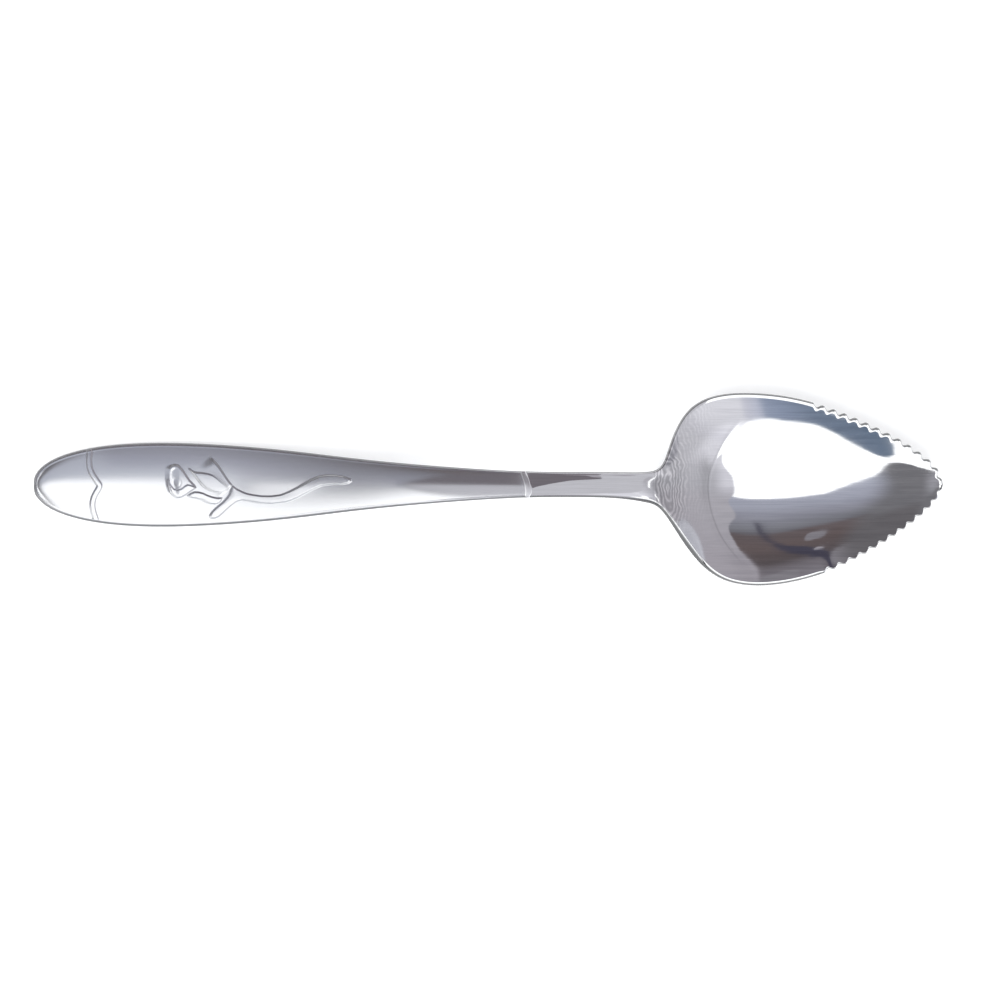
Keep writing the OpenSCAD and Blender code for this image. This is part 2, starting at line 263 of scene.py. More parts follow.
def rim_table():
    """Length along the rim back from the tip, the mean of both sides, against the place on the spline."""
    u = np.linspace(LAST_RIB, HEEL_RIB, 400)
    r = spline(BLANK, u)[0]
    left = np.hypot(np.diff(r[:, 1]), np.diff(r[:, 2]))
    right = np.hypot(np.diff(r[:, 3]), np.diff(r[:, 4]))
    return np.concatenate([[0], np.cumsum((left + right) / 2)]), u


RIM_LENGTHS, RIM_PLACES = rim_table()
TEETH_LENGTH = TEETH_PER_SIDE * TOOTH_PITCH
TEETH_START = np.interp(TIP_LAND + TEETH_LENGTH, RIM_LENGTHS, RIM_PLACES)


def tooth_turn(u):
    """Angle along the teeth, a full turn to each, and whether there are teeth at place u."""
    s = np.interp(u, RIM_PLACES[::-1], RIM_LENGTHS[::-1]) - TIP_LAND
    return 2 * math.pi * s / TOOTH_PITCH, (s > 0) & (s < TEETH_LENGTH)


# How much narrower the notches are than the teeth, as a power
NOTCH_NARROWING = 1.4


def tooth_cut(u):
    """Depth of the notch at place u: round teeth, with narrower notches between them."""
    turn, toothed = tooth_turn(u)
    return np.where(toothed, TOOTH_DEPTH * ((1 - np.cos(turn)) / 2) ** NOTCH_NARROWING, 0)


def cut_wall_shade(u):
    """How far the painted shade of the cut wall reaches in: wide on the side of each tooth that faces the
    handle.
    """
    turn, toothed = tooth_turn(u)
    return np.where(toothed, ramp(0.25, 0.85, 0.5 + 0.5 * np.sin(turn + 0.5)), 0.35)


# How close to the edge the notches pull the surface, as a power of the place across
TOOTH_REACH = 10
# The notches are cut at a slant, deeper on the face than on the back
NOTCH_FACE_SHARE = 1.15
NOTCH_UNDER_SHARE = 0.85


def notched(u, w, back):
    """Point on the face or back, slid inwards along the surface where a notch is cut."""
    side = np.where(w >= 0, 1.0, -1.0)
    step = 1e-4
    rim = surface(u, side, back)
    along = (surface(u + step, side, back) - rim) / step
    across = (rim - surface(u, side * (1 - step), back)) / step
    cut = tooth_cut(u) * (NOTCH_UNDER_SHARE if back else NOTCH_FACE_SHARE)
    inward = -np.where((side > 0)[..., None], outward(u, 1), outward(u, -1)) * cut[..., None]
    det = across[..., 0] * along[..., 1] - across[..., 1] * along[..., 0]
    det = np.where(np.abs(det) < 1e-12, 1, det)
    shift_w = (inward[..., 0] * along[..., 1] - inward[..., 1] * along[..., 0]) / det
    shift_u = (across[..., 0] * inward[..., 1] - across[..., 1] * inward[..., 0]) / det
    reach = np.abs(w) ** TOOTH_REACH
    moved = np.clip(np.abs(w) + shift_w * reach, 0, 1) * side
    return surface(np.clip(u + shift_u * reach, 0, LAST_RIB), moved, back)


# Faint line where the bowl's shoulder meets its floor: shares of the bowl's length and half width
PRESS_LINE_SHARES = (
    (0.34, 0.75), (0.307, 0.618), (0.273, 0.484), (0.25, 0.348), (0.227, 0.193), (0.215, 0.047),
    (0.217, -0.139), (0.23, -0.341), (0.26, -0.564), (0.306, -0.742), (0.34, -0.87),
)
PRESS_DEPTH = 0.045 * MM
PRESS_WIDTH = 0.28 * MM
# Painted shade along the crease: how much it darkens the colour at its middle
PRESS_SHADE = 0.2
# It fades out between these shares of the bowl's length
PRESS_FADE = (0.27, 0.34)
LINE_REACH = 2 * MM


def line_distance(x, y, rows):
    """Distance to a smooth open line through the rows, no farther than LINE_REACH."""
    line = spline(extended(rows), np.linspace(0, len(rows) - 1, 300))[0]
    distance = np.full(x.shape, LINE_REACH)
    near = (x > line[:, 0].min() - LINE_REACH) & (x < line[:, 0].max() + LINE_REACH)
    for cx, cy in line:
        distance[near] = np.minimum(distance[near], np.hypot(x[near] - cx, y[near] - cy))
    return distance


def press_line(x, y):
    """Depth of the faint crease in the bowl's face, and the painted shade along it."""
    rows = np.array(PRESS_LINE_SHARES)
    rows = np.column_stack([HEEL_X + rows[:, 0] * BOWL_LENGTH, rows[:, 1] * BOWL_WIDTH / 2])
    press = line_distance(x, y, rows)
    depth = -PRESS_DEPTH * np.exp(-(press / PRESS_WIDTH) ** 2)
    fade = 1 - ramp(*PRESS_FADE, (x - HEEL_X) / BOWL_LENGTH)
    return depth * fade, PRESS_SHADE * fade * np.exp(-(press / PRESS_WIDTH * 1.6) ** 2)


# Shares of the edge's inset over which the cut edge's darker colour and painted shade end, and the rim's flat
# land starts
CUT_FADE = (0.28, 0.48)
LAND_FADE = (0.3, 0.5)
# The cut edge's darker colour and painted shade reach wider over the teeth: least, and what a tooth's painted
# dark side adds
TOOTH_CUT_REACH = (0.6, 1.3)


def section_rings(places, face_columns, back_columns, relief):
    """Closed rings of the blank: across the face from left to right, round the edge, back underneath."""
    u, w = np.meshgrid(places, face_columns, indexing="ij")
    face = notched(u, w, False)
    height, tone = relief(face[..., 0], face[..., 1])
    face[..., 2] += height
    u_back, w_back = np.meshgrid(places, -np.array(back_columns), indexing="ij")
    back = notched(u_back, w_back, True)
    in_bowl = in_bowl_share(places)[:, None]
    teeth = ramp(TEETH_START - 0.25, TEETH_START, places)
    handle, rim, sharpened = [
        np.array(rows).T[..., None, :] for rows in (HANDLE_EDGE_SHARES, RIM_EDGE_SHARES, SHARP_EDGE_SHARES)
    ]

    def edge_shares(side):
        """Inset and drop round the edge, for each place."""
        sharp = np.maximum(shoulder_share(places, side > 0), teeth * (side < 0))[:, None]
        return handle * (1 - in_bowl) + (rim * (1 - sharp) + sharpened * sharp) * in_bowl

    def sheared_and_shaded_edge(side):
        """Darker colour of the sheared cut edge, with painted shade of the cut wall, from its outer edge
        inwards: wider under the right shoulder.
        """
        inset, drop = edge_shares(side)
        plain = 1 + 0.3 * ramp(HEEL_RIB + 2, HEEL_RIB + 3, places)
        toothed = (TOOTH_CUT_REACH[0] + TOOTH_CUT_REACH[1] * cut_wall_shade(places)) * (1 if side > 0 else 1.3)
        reach = np.where(places < TEETH_START, plain, toothed)
        if side < 0:
            shoulder = ramp(COLLAR_RIB - 1, COLLAR_RIB, places) * (1 - ramp(*SHOULDER_OUT, places))
            reach = reach + 0.4 * (places < TEETH_START) + 0.4 * shoulder
        reach = reach[:, None]
        return 1 - ramp(CUT_FADE[0] * reach, CUT_FADE[1] * reach, inset - (drop > 0.9))

    def land_mask(side):
        """The rim's flat land, inside the dark of the cut wall."""
        level = ramp(HEEL_RIB + 3, HEEL_RIB + 4, places) * (1 - right_teeth_share(places, side > 0))
        return ramp(*LAND_FADE, edge_shares(side)[0]) * level[:, None]

    def edge(side, start, end):
        """Points round the edge, from the face to the back."""
        out = outward(places, side)
        inset = edge_width(places, side > 0)
        points = []
        for share, drop in zip(*np.moveaxis(edge_shares(side), 2, 1)):
            point = start * (1 - drop[:, None]) + end * drop[:, None]
            point[:, :2] = start[:, :2] + out * (inset * (1 - share))[:, None]
            points.append(point)
        return np.stack(points, 1)

    right = edge(-1, face[:, -1], back[:, 0])
    left = edge(1, face[:, 0], back[:, -1])[:, ::-1]
    rings = np.concatenate([face, right, back, left], 1)
    rings[..., 2] = np.maximum(rings[..., 2], 0)
    under = back[..., 0] * 0
    # Painted shade: on the face, that of the relief's flanks and of the crease; round the edge, the sheared
    # edge's darker colour together with painted shade of the cut wall
    cut = np.concatenate([tone, sheared_and_shaded_edge(-1), under, sheared_and_shaded_edge(1)[:, ::-1]], 1)
    inner = np.zeros(tone.shape)
    inner[:, 0], inner[:, -1] = land_mask(1)[:, 0], land_mask(-1)[:, 0]
    land = np.concatenate([inner, land_mask(-1), under, land_mask(1)[:, ::-1]], 1)
    return rings, {"sheared_edge_and_shade": cut, "land": land}


def deselect_all():
    if bpy.context.object and bpy.context.object.mode != "OBJECT":
        bpy.ops.object.mode_set(mode="OBJECT")
    bpy.ops.object.select_all(action="DESELECT")


# Points closer than this are merged, and edges sharper than this stay sharp
WELD = 0.002 * MM
SHARP_ANGLE = math.radians(40)


def rolled_sheet(name, rings, masks):
    """A grid laid round the rings as a closed tube, its ends filled and its doubled points merged."""
    rows, columns = rings.shape[:2]
    rings = np.concatenate([rings, rings[:, :1]], 1)
    rings = rings + np.array([0, MIDDLE_Y, 0])
    deselect_all()
    bpy.ops.mesh.primitive_grid_add(x_subdivisions=columns, y_subdivisions=rows - 1, size=1)
    piece = bpy.context.object
    piece.name = name
    piece.data.name = name
    piece.data.vertices.foreach_set("co", rings.reshape(-1, 3).ravel())
    for label, values in masks.items():
        mask = piece.data.attributes.new(label, "FLOAT", "POINT")
        mask.data.foreach_set("value", np.concatenate([values, values[:, :1]], 1).ravel())
    bpy.ops.object.mode_set(mode="EDIT")
    bpy.ops.mesh.select_all(action="SELECT")
    bpy.ops.mesh.remove_doubles(threshold=WELD)
    bpy.ops.mesh.select_all(action="DESELECT")
    bpy.ops.mesh.select_non_manifold()
    bpy.ops.mesh.edge_face_add()
    bpy.ops.mesh.select_all(action="SELECT")
    bpy.ops.mesh.normals_make_consistent(inside=False)
    bpy.ops.object.mode_set(mode="OBJECT")
    bpy.ops.object.shade_smooth_by_angle(angle=SHARP_ANGLE)
    return piece


def graded(low, high, step):
    """Even places from low to high, about a step apart."""
    return np.linspace(low, high, max(2, int(round((high - low) / step)) + 1))


def columns(count, power):
    """Places across the blank from left to right, finer towards the edges with a higher power."""
    t = np.linspace(-1, 1, count)
    return -np.sign(t) * (1 - (1 - np.abs(t)) ** power)


def on_handle(rows):
    """Rows in metres, from shares of the handle and a half width in millimetres."""
    rows = np.array(rows, float)
    rows[:, 0] = END_X + rows[:, 0] * HANDLE_LENGTH
    rows[:, 1] = rows[:, 1] * HANDLE_WIDTH
    rows[:, 2] = rows[:, 2] * MM
    return rows


# Middle line of the bead: place along and across the handle as shares of it, and half width in millimetres
BEAD_SHARES = (
    (0.112, 0.52, 0.42), (0.115, 0.41, 0.42), (0.113, 0.29, 0.42), (0.116, 0.16, 0.42),
    (0.134, 0.01, 0.42), (0.138, -0.02, 0.42), (0.124, -0.13, 0.42), (0.119, -0.26, 0.42),
    (0.127, -0.42, 0.42), (0.135, -0.52, 0.42),
)
# The handle on the photograph, in its pixels: its end, its middle line, its length and its width
END_PIXEL = 27.9
MIDDLE_PIXEL = 484.6
LENGTH_PIXELS = 499.4
WIDTH_PIXELS = 83.5
# Outlines of the flower, as places read off the photograph, in its pixels
STALK_PIXELS = (
    (230.7, 486), (234.9, 489.1), (239.8, 491.6), (245, 493.7), (252, 495.1), (260, 496.2), (270, 496.3),
    (280, 495), (288, 491.9), (296, 488), (303, 484), (310.4, 480), (319, 476.6), (328, 475.3), (337, 475.8),
    (345, 477.3), (350, 479.3), (350.6, 481.3), (348, 483), (342.5, 484.1), (333, 484), (321, 485.4),
    (310.4, 490), (303, 493.8), (297, 497), (290, 500), (284, 501.8), (270, 503.4), (260, 502.8),
    (252, 501.6), (245, 500.3), (239.8, 499.8), (234.2, 501.6), (229.3, 505.1), (224.4, 509.3),
    (220.2, 513.2), (216, 516.7), (211.8, 518.3), (208.4, 518.1), (207.3, 516.1), (209.6, 512.3),
    (213.2, 508.8), (217.4, 505.3), (221.6, 501.8), (225.4, 497.8), (227.7, 494.5),
)
BLADE_PIXELS = (
    (206.9, 455.7), (211.1, 460.4), (216, 466), (220.2, 471.9), (223.7, 477.2), (227.2, 482.1), (230.7, 486),
)
CLOSED_LEAF_PIXELS = (
    (186.5, 468.6), (189.5, 471), (192.8, 472.2), (199, 472.7), (206, 473.6), (210.4, 475), (214.6, 477.8),
    (218.8, 481.4), (223, 485), (226.2, 488.2), (225.8, 489.6), (221.5, 490.9), (217.4, 491.9),
    (213.2, 491.6), (208.2, 490.2), (203.3, 487.7), (199.1, 484.2), (195.6, 479.6), (192.1, 474.8),
)
WAVY_LEAF_PIXELS = (
    (185.1, 495.6), (187.9, 493.6), (191.4, 492.2), (195.6, 492.2), (200.5, 493.3), (204.7, 495.3),
    (209.6, 497.1), (214.6, 498.2), (220, 498.2), (218.6, 501), (216.7, 502.8), (213.2, 503.9),
    (208.2, 503.5), (203.3, 501.8), (199.1, 499.4), (193.5, 497.9), (189.3, 497.4),
)
BUD_PIXELS = (
    (164.6, 473), (165.3, 468.6), (168.2, 465.8), (171.8, 464.5), (175.3, 465.5), (178.1, 468.1),
    (180.9, 471.6), (183.7, 475.8), (186.5, 480), (189.3, 482.9), (192.1, 485.7), (193.3, 487.8),
    (187.9, 491.2), (183, 494.7), (178.1, 497.2), (173.9, 497.5), (170.4, 495.4), (167.6, 491.4),
    (165.8, 485), (164.8, 478.6),
)
BUD_PETAL_PIXELS = (
    (165.6, 481.4), (166.8, 483), (168.6, 486.4), (171.2, 489.1), (174.6, 490.2), (178.8, 489.1),
    (182.3, 486.3), (185.1, 484.7), (188.6, 485.6), *BUD_PIXELS[11:18], (166, 486),
)
BUD_HEART_PIXELS = (
    (170.8, 480.4), (172.6, 478.6), (175.2, 478), (177.6, 480), (178.2, 483), (176.8, 486.4),
    (173.6, 486.9), (170.9, 484.4),
)
# Height of the relief, width of its flanks, and the slight swell behind them
RELIEF = 0.2 * MM
FLANK = 0.3 * MM
BEAD_FLANK = 0.2 * MM
SWELL = 0.04 * MM
SWELL_REACH = 0.6 * MM
# How dark the painted shade on the flanks is
FLANK_SHADE = 0.3
# The blade slopes down to the sheet over this width
BLADE_SLOPE = 3.4 * MM
# The bud is hollow from here inwards, and its rim is soft where its end is, as shares of the handle
BUD_HOLLOW = (0.25 * MM, 0.9 * MM)
BUD_HOLLOW_END = (0.285, 0.3)
BUD_SOFT_END = (0.272, 0.284)
HEART_LINE = 0.16 * MM
# Shares of the handle between which the flower and the bead lie
FLOWER_SPAN = (0.25, 0.67)
BEAD_SPAN = (0.09, 0.16)


def from_photo(rows):
    """Places on the handle in metres, from places on the photograph in its pixels."""
    rows = np.array(rows, float)
    along = (rows[:, 0] - END_PIXEL) / LENGTH_PIXELS
    across = (MIDDLE_PIXEL - rows[:, 1]) / WIDTH_PIXELS
    return np.column_stack([END_X + along * HANDLE_LENGTH, across * HANDLE_WIDTH])


def segment_distance(x, y, a, b):
    """Distance to a straight line from a to b, and how far along it the nearest place is."""
    dx, dy = b - a
    t = np.clip(((x - a[0]) * dx + (y - a[1]) * dy) / (dx * dx + dy * dy), 0, 1)
    return np.hypot(x - a[0] - t * dx, y - a[1] - t * dy), t


def inside_distance(x, y, rows):
    """Distance to a closed outline, positive inside."""
    corners = from_photo(rows)
    nearest = np.full(x.shape, np.inf)
    crossings = np.zeros(x.shape, int)
    for a, b in zip(corners, np.roll(corners, -1, 0)):
        nearest = np.minimum(nearest, segment_distance(x, y, a, b)[0])
        (ax, ay), (bx, by) = a, b
        straddles = (ay > y) != (by > y)
        if by != ay:
            crossings += straddles & (x < ax + (y - ay) * (bx - ax) / (by - ay))
    return np.where(crossings % 2 == 1, nearest, -nearest)


def beside_line(x, y, rows):
    """Distance to an open line, positive on its right, and how far along it the nearest place is."""
    corners = from_photo(rows)
    nearest = np.full(x.shape, np.inf)
    signed = np.zeros(x.shape)
    along = np.zeros(x.shape)
    for k, (a, b) in enumerate(zip(corners[:-1], corners[1:])):
        distance, t = segment_distance(x, y, a, b)
        closer = distance < nearest
        nearest = np.where(closer, distance, nearest)
        right = np.where((x - a[0]) * (b - a)[1] - (y - a[1]) * (b - a)[0] > 0, 1, -1)
        signed = np.where(closer, distance * right, signed)
        along = np.where(closer, (k + t) / (len(corners) - 1), along)
    return signed, along


def band_distance(x, y, rows, steps=24):
    """Distance inside a band along a middle line, positive on the band."""
    line = spline(extended(on_handle(rows)), np.linspace(0, len(rows) - 1, (len(rows) - 1) * steps))[0]
    best = np.full(x.shape, -np.inf)
    for px, py, half in line:
        best = np.maximum(best, half - np.hypot(x - px, y - py))
    return best


def stamped(inside, height, flank):
    """Stamped relief: a soft step up across its outline, and a slight swell behind it."""
    swell = SWELL * (1 - np.exp(-np.maximum(inside, 0) / SWELL_REACH))
    return height * ramp(-flank / 2, flank / 2, inside) + swell


def flank_shade(inside, flank):
    """Painted shade along the flank of an outline."""
    return FLANK_SHADE * np.exp(-(inside / flank * 1.8) ** 2)


def flower(x, y):
    """Height of the flower, its leaves and its stem, and the painted shade on their flanks."""
    stalk = inside_distance(x, y, STALK_PIXELS)
    leaf = inside_distance(x, y, CLOSED_LEAF_PIXELS)
    wavy = inside_distance(x, y, WAVY_LEAF_PIXELS)
    bud = inside_distance(x, y, BUD_PIXELS)
    petal = inside_distance(x, y, BUD_PETAL_PIXELS)
    heart = inside_distance(x, y, BUD_HEART_PIXELS)
    side, along = beside_line(x, y, BLADE_PIXELS)
    taper = ramp(0, 0.25, along)
    blade = 1.1 * RELIEF * ramp(-FLANK / 2, FLANK / 2, side) * (1 - ramp(0, BLADE_SLOPE, side)) * taper
    blade = blade * (1 - ramp(0.93, 1, along))
    share = (x - END_X) / HANDLE_LENGTH
    hollow = ramp(*BUD_HOLLOW, bud) * (1 - ramp(*BUD_HOLLOW_END, share))
    soft = 1 + 2.5 * (1 - ramp(*BUD_SOFT_END, share))
    bud_height = stamped(bud, RELIEF * 1.15, FLANK * 1.2 * soft) - 0.55 * RELIEF * hollow
    bud_height += 0.5 * RELIEF * ramp(-0.1 * MM, 0.12 * MM, petal)
    bud_height -= 0.1 * RELIEF * np.exp(-(heart / HEART_LINE) ** 2)
    height = np.maximum.reduce([
        stamped(stalk, RELIEF, FLANK), stamped(leaf, RELIEF, FLANK), stamped(wavy, RELIEF * 0.9, FLANK),
        bud_height, blade,
    ])
    # Painted shade on the flanks of each outline
    tone = np.maximum.reduce([
        flank_shade(stalk, FLANK), flank_shade(leaf, FLANK), flank_shade(wavy, FLANK),
        flank_shade(bud, FLANK) / soft ** 2, 0.6 * flank_shade(petal, FLANK),
        1.4 * flank_shade(side, FLANK * 1.2) * taper * (along < 1),
    ])
    return height, tone


def handle_relief(x, y):
    """Height of the stamped pattern over the handle's face, and the painted shade on its flanks."""
    def within(span):
        return (x > END_X + span[0] * HANDLE_LENGTH) & (x < END_X + span[1] * HANDLE_LENGTH)

    height, tone = np.zeros(x.shape), np.zeros(x.shape)
    near = within(FLOWER_SPAN)
    height[near], tone[near] = flower(x[near], y[near])
    near = within(BEAD_SPAN)
    bead = band_distance(x[near], y[near], BEAD_SHARES)
    height[near] = stamped(bead, RELIEF * 0.75, BEAD_FLANK)
    # Painted shade on the bead's flanks
    tone[near] = flank_shade(bead, BEAD_FLANK)
    return height, tone


# Shares of the handle, and the step of its stations between them in millimetres
HANDLE_STEPS = (
    (0.02, 0.1, 0.4), (0.1, 0.15, 0.11), (0.15, 0.265, 0.45), (0.265, 0.42, 0.105), (0.42, 0.66, 0.16),
    (0.66, 1, 0.6),
)
STEPS_PER_TOOTH = 16


def handle_places():
    """Stations of the handle: fine over the bead and the flower, coarser between them."""
    u = np.linspace(0, COLLAR_RIB, 4000)
    x = spline(BLANK, u)[0][:, 0]
    targets = np.concatenate([
        graded(END_X + low * HANDLE_LENGTH, END_X + high * HANDLE_LENGTH, step * MM)[:-1]
        for low, high, step in HANDLE_STEPS
    ])
    nose = graded(0, np.interp(targets[0], x, u), 0.08)[:-1]
    return np.concatenate([nose, np.interp(targets, x, u), [COLLAR_RIB]])


def bowl_places():
    """Stations of the neck and bowl: finest along the teeth."""
    steps = TEETH_PER_SIDE * STEPS_PER_TOOTH
    teeth = np.interp(TIP_LAND + TEETH_LENGTH * np.linspace(1, 0, steps + 1), RIM_LENGTHS, RIM_PLACES)
    neck = graded(COLLAR_RIB, HEEL_RIB, 0.07)[:-1]
    shoulder = graded(HEEL_RIB, TEETH_START, 0.045)[:-1]
    tip = graded(teeth[-1], LAST_RIB, 0.02)[1:]
    return np.concatenate([neck, shoulder, teeth, tip])


# Columns across: how many on the face and on the back, and how much finer they get towards the edges
HANDLE_COLUMNS = (139, 25, 1.0)
BOWL_COLUMNS = (121, 41, 1.2)


def make_sheet(name, places, counts, relief):
    """The blank between two places, with its relief."""
    front, under, power = counts
    return rolled_sheet(name, *section_rings(places, columns(front, power), columns(under, power), relief))


# Collar's middle line across the neck: place along and across, and half width, in millimetres from its place
COLLAR_LINE = (
    (-0.8, 2.2, 0.45), (-0.55, 1.6, 0.52), (-0.25, 0.95, 0.5), (0.05, -0.3, 0.56), (0.22, -0.95, 0.64),
    (0.12, -1.7, 0.56), (-0.15, -2.2, 0.4),
)
COLLAR_RISE = 0.19 * MM
# Its section: place across as a share of the half width, and rise as a share of the whole
COLLAR_PROFILE = (
    (1, -0.6), (0.96, 0), (0.86, 0.44), (0.7, 0.8), (0.4, 0.96), (0, 1), (-0.4, 0.96), (-0.7, 0.8),
    (-0.86, 0.44), (-0.96, 0), (-1, -0.6),
)


def face_height(x, y):
    """Height of the face over a place on the handle or neck."""
    u = np.linspace(0, HEEL_RIB, 2000)
    r = spline(BLANK, u)[0]
    at = [np.interp(x, r[:, 0], r[:, k]) for k in (2, 5, 7)]
    w = np.minimum(np.abs(y) / (at[0] - NECK_ROUND), 1.15)
    return at[1] + at[2] * (1 - w * w)


def make_collar():
    """A low rounded ridge across the face of the neck."""
    line = np.array(COLLAR_LINE) * MM + np.array([COLLAR_X, 0, 0])
    point, slope = spline(extended(line), np.linspace(0, len(line) - 1, 60))
    normal = np.column_stack([-slope[:, 1], slope[:, 0]]) / np.hypot(slope[:, 0], slope[:, 1])[:, None]
    rings = []
    for across, rise in COLLAR_PROFILE:
        x = point[:, 0] + normal[:, 0] * across * point[:, 2]
        y = point[:, 1] + normal[:, 1] * across * point[:, 2]
        rings.append(np.column_stack([x, y, face_height(x, y) + rise * COLLAR_RISE]))
    return rolled_sheet("collar_ridge", np.stack(rings, 1), {})


handle = make_sheet("handle_satin", handle_places(), HANDLE_COLUMNS, handle_relief)
bowl = make_sheet("neck_and_bowl", bowl_places(), BOWL_COLUMNS, press_line)
collar = make_collar()
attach(collar, "root")
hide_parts("neck_collar")
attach(handle, "root")
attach(bowl, "root")
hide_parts("handle", "end_bead", "rosebud", "leaves", "stem")
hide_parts("neck", "bowl")


class Nodes:
    """Short ways to add nodes to one tree."""

    def __init__(self, tree):
        self.tree = tree

    def add(self, kind, **values):
        node = self.tree.nodes.new(kind)
        for key, value in values.items():
            setattr(node, key, value)
        return node

    def join(self, source, target):
        self.tree.links.new(source, target)

    def feed(self, socket, value):
        """Joins an output to the socket, or sets the socket to a plain value."""
        if isinstance(value, bpy.types.NodeSocket):
            self.join(value, socket)
        else:
            socket.default_value = value

    def math(self, operation, *values):
        node = self.add("ShaderNodeMath", operation=operation)
        for socket, value in zip(node.inputs, values):
            self.feed(socket, value)
        return node.outputs[0]

    def plus(self, first, second):
        return self.math("ADD", first, second)

    def minus(self, first, second):
        return self.math("SUBTRACT", first, second)

    def over(self, first, second):
        return self.math("DIVIDE", first, second)

    def times(self, first, *others):
        for other in others:
            first = self.math("MULTIPLY", first, other)
        return first

    def vector(self, operation, *values):
        """The outputs of a vector operation."""
        node = self.add("ShaderNodeVectorMath", operation=operation)
        for socket, value in zip(node.inputs, values):
            self.feed(socket, value)
        return node.outputs

    def split(self, vector):
        """The x, y and z of a vector."""
        node = self.add("ShaderNodeSeparateXYZ")
        self.join(vector, node.inputs[0])
        return node.outputs

    def place(self):
        return self.add("ShaderNodeTexCoord").outputs["Object"]

    def noise(self, place, scale, detail, roughness=0.5):
        node = self.add("ShaderNodeTexNoise")
        self.join(place, node.inputs["Vector"])
        for label, value in (("Scale", scale), ("Detail", detail), ("Roughness", roughness)):
            node.inputs[label].default_value = value
        return node.outputs[0]

    def group(self, tree, **values):
        node = self.add("ShaderNodeGroup", node_tree=tree)
        for label, value in values.items():
            node.inputs[label].default_value = value
        return node.outputs

    def step(self, value, low, high, first=0.0, last=1.0):
        """Smooth step of the value from first at low to last at high."""
        node = self.add("ShaderNodeMapRange", interpolation_type="SMOOTHSTEP")
        for socket, number in zip(node.inputs, (value, low, high, first, last)):
            self.feed(socket, number)
        return node.outputs[0]

    def mix(self, factor, first, second):
        node = self.add("ShaderNodeMix", data_type="RGBA")
        self.feed(node.inputs[0], factor)
        self.feed(node.inputs[6], first)
        self.feed(node.inputs[7], second)
        return node.outputs[2]

    def ramp(self, value, stops, curve="LINEAR"):
        node = self.add("ShaderNodeValToRGB")
        node.color_ramp.interpolation = curve
        self.feed(node.inputs[0], value)
        elements = node.color_ramp.elements
        while len(elements) < len(stops):
            elements.new(0.5)
        for element, (place, color) in zip(elements, stops):
            element.position = place
            element.color = (*color, 1)
        return node.outputs[0]

    def glow(self, color, strength=1.0):
        """Plain light of a colour."""
        node = self.add("ShaderNodeEmission")
        self.feed(node.inputs["Color"], color)
        self.feed(node.inputs["Strength"], strength)
        return node.outputs[0]


def node_group(name, inputs, outputs):
    """A shader group with value inputs and outputs: the group, its nodes, and its own inputs and outputs."""
    group = bpy.data.node_groups.new(name, "ShaderNodeTree")
    for label, value in inputs:
        group.interface.new_socket(label, in_out="INPUT", socket_type="NodeSocketFloat").default_value = value
    for label in outputs:
        group.interface.new_socket(label, in_out="OUTPUT", socket_type="NodeSocketFloat")
    n = Nodes(group)
    return group, n, n.add("NodeGroupInput").outputs, n.add("NodeGroupOutput").inputs


# Scale of the lines through the sheet as a share of that across it, and scale of the broad patches
LINES_THROUGH = 0.12
PATCHES_SCALE = 140


def brushed_lines_group():
    """Fine lines along the spoon, as the polishing wheel leaves them, and broad soft patches."""
    scales = (("Across", 9000.0), ("Along", 120.0))
    group, n, given, result = node_group("brushed_lines", scales, ("Lines", "Patches"))
    place = n.place()
    stretch = n.add("ShaderNodeCombineXYZ")
    n.join(given["Along"], stretch.inputs[0])
    n.join(given["Across"], stretch.inputs[1])
    n.join(n.times(given["Across"], LINES_THROUGH), stretch.inputs[2])
    n.join(n.noise(n.vector("MULTIPLY", place, stretch.outputs[0])[0], 1, 3, 0.6), result["Lines"])
    n.join(n.noise(place, PATCHES_SCALE, 3), result["Patches"])
    return group


# Middle of the swirls from the heel and from the middle line, and how far apart and how uneven the rings are
SWIRL_PLACE = (3.9 * MM, -0.9 * MM)
SWIRL_SPACING = 0.55 * MM
SWIRL_WANDER = 3.2 * MM
WANDER_SCALE = 190
FLECK_SCALE = 900
# The rings are this much flatter across than along
SWIRL_FLATNESS = 0.3
# Where they fade: from the heel at both ends, from the middle line, and from their own middle
SWIRL_START = (HEEL_X + 0.8 * MM, HEEL_X + 2.2 * MM)
SWIRL_END = (HEEL_X + 7 * MM, HEEL_X + 14 * MM)
SWIRL_SIDE = (MIDDLE_Y - 9 * MM, MIDDLE_Y - 3 * MM)
SWIRL_REACH = (2.2 * MM, 4.2 * MM)
FURROW_REACH = (1.5 * MM, 4 * MM)
# On the face only: height of the normal
FACE_NORMAL = (0.0, 0.3)


